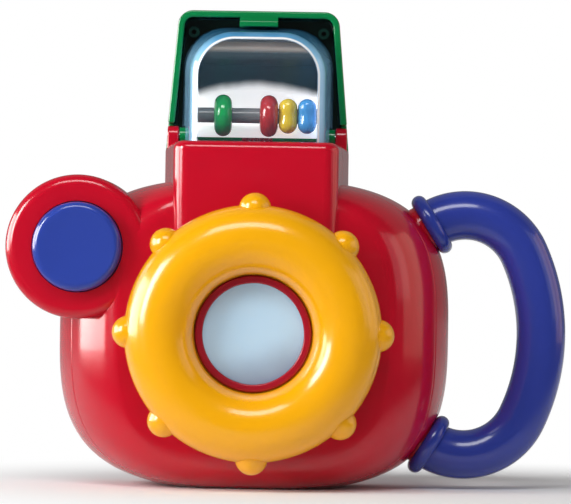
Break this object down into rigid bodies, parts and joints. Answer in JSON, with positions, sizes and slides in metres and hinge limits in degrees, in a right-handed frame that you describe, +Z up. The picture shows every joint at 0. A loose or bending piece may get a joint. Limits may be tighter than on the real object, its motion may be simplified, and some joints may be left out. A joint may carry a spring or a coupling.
{
  "type": "toy camera",
  "caption": "Toddler's toy camera with a pillow body, turning knobbed lens ring, push button, D handle and a spring pop-up flash head with sliding beads.",
  "frame": {"origin": "on the flat base under the lens axis, about under the centre of mass", "axes": "+X to the viewer's right, towards the handle; the lens looks along -Y; +Z up"},
  "size_m": [0.1805, 0.0785, 0.1544],
  "materials": {
    "red_plastic": "gloss",
    "yellow_plastic": "gloss",
    "blue_plastic": "gloss",
    "green_plastic": "gloss",
    "white_plastic": "matt",
    "clear_plastic": "clear",
    "mirror_film": "mirror",
    "grey_plastic": "gloss",
    "bead_green": "gloss",
    "bead_red": "gloss",
    "bead_yellow": "gloss",
    "bead_blue": "gloss",
    "soft_pvc": "matt",
    "steel": "plain"
  },
  "bodies": {
    "camera_body": {"front_shell": "red_plastic", "rear_shell": "red_plastic", "shell_screws": "steel", "lens_bezel": "red_plastic", "lens_mirror": "mirror_film", "click_pawl": "white_plastic", "squeaker_bellows": "soft_pvc", "squeaker_reed": "white_plastic", "lever_screw": "steel", "hinge_pin": "steel", "flash_spring": "steel", "handle": "blue_plastic"},
    "lens_ring": {"lens_ring": "yellow_plastic"},
    "button": {"shutter_button": "blue_plastic"},
    "lever": {"release_lever": "white_plastic"},
    "flash": {"flash_lid": "green_plastic", "flash_window": "clear_plastic", "flash_reflector": "mirror_film", "bead_rod": "grey_plastic"},
    "bead_green": {"bead_green": "bead_green"},
    "bead_red": {"bead_red": "bead_red"},
    "bead_yellow": {"bead_yellow": "bead_yellow"},
    "bead_blue": {"bead_blue": "bead_blue"}
  },
  "joints": [
    {"name": "lens_turn", "type": "hinge", "parent": "camera_body", "child": "lens_ring", "pos_m": [0, -0.0355, 0.05], "axis": [0, 1, 0], "continuous": true, "deforming": ["click_pawl"]},
    {"name": "button_press", "type": "slide", "parent": "camera_body", "child": "button", "axis": [0, 1, 0], "range_m": [0, 0.004], "stiffness_N_per_m": 400, "springref_m": -0.004, "deforming": ["squeaker_bellows"]},
    {"name": "lever_swing", "type": "hinge", "parent": "camera_body", "child": "lever", "pos_m": [-0.007, 0, 0.0795], "axis": [0, 0, 1], "range_deg": [-6, 0]},
    {"name": "flash_close", "type": "hinge", "parent": "camera_body", "child": "flash", "pos_m": [0, 0.0145, 0.1134], "axis": [1, 0, 0], "range_deg": [0, 90], "stiffness_Nm_per_rad": 0.02, "springref_deg": -34.38, "deforming": ["flash_spring"]},
    {"name": "bead_green_slide", "type": "slide", "parent": "flash", "child": "bead_green", "axis": [1, 0, 0], "range_m": [-0.005, 0]},
    {"name": "bead_red_slide", "type": "slide", "parent": "flash", "child": "bead_red", "axis": [1, 0, 0], "range_m": [-0.0084, 0]},
    {"name": "bead_yellow_slide", "type": "slide", "parent": "flash", "child": "bead_yellow", "axis": [1, 0, 0], "range_m": [-0.0084, 0]},
    {"name": "bead_blue_slide", "type": "slide", "parent": "flash", "child": "bead_blue", "axis": [1, 0, 0], "range_m": [-0.0084, 0]}
  ],
  "couplings": [
    {"joint": "lever_swing", "follows": "button_press", "rad_per_m": -26.11},
    {"joint": "bead_yellow_slide", "follows": "bead_red_slide", "ratio": 1},
    {"joint": "bead_blue_slide", "follows": "bead_red_slide", "ratio": 1}
  ]
}
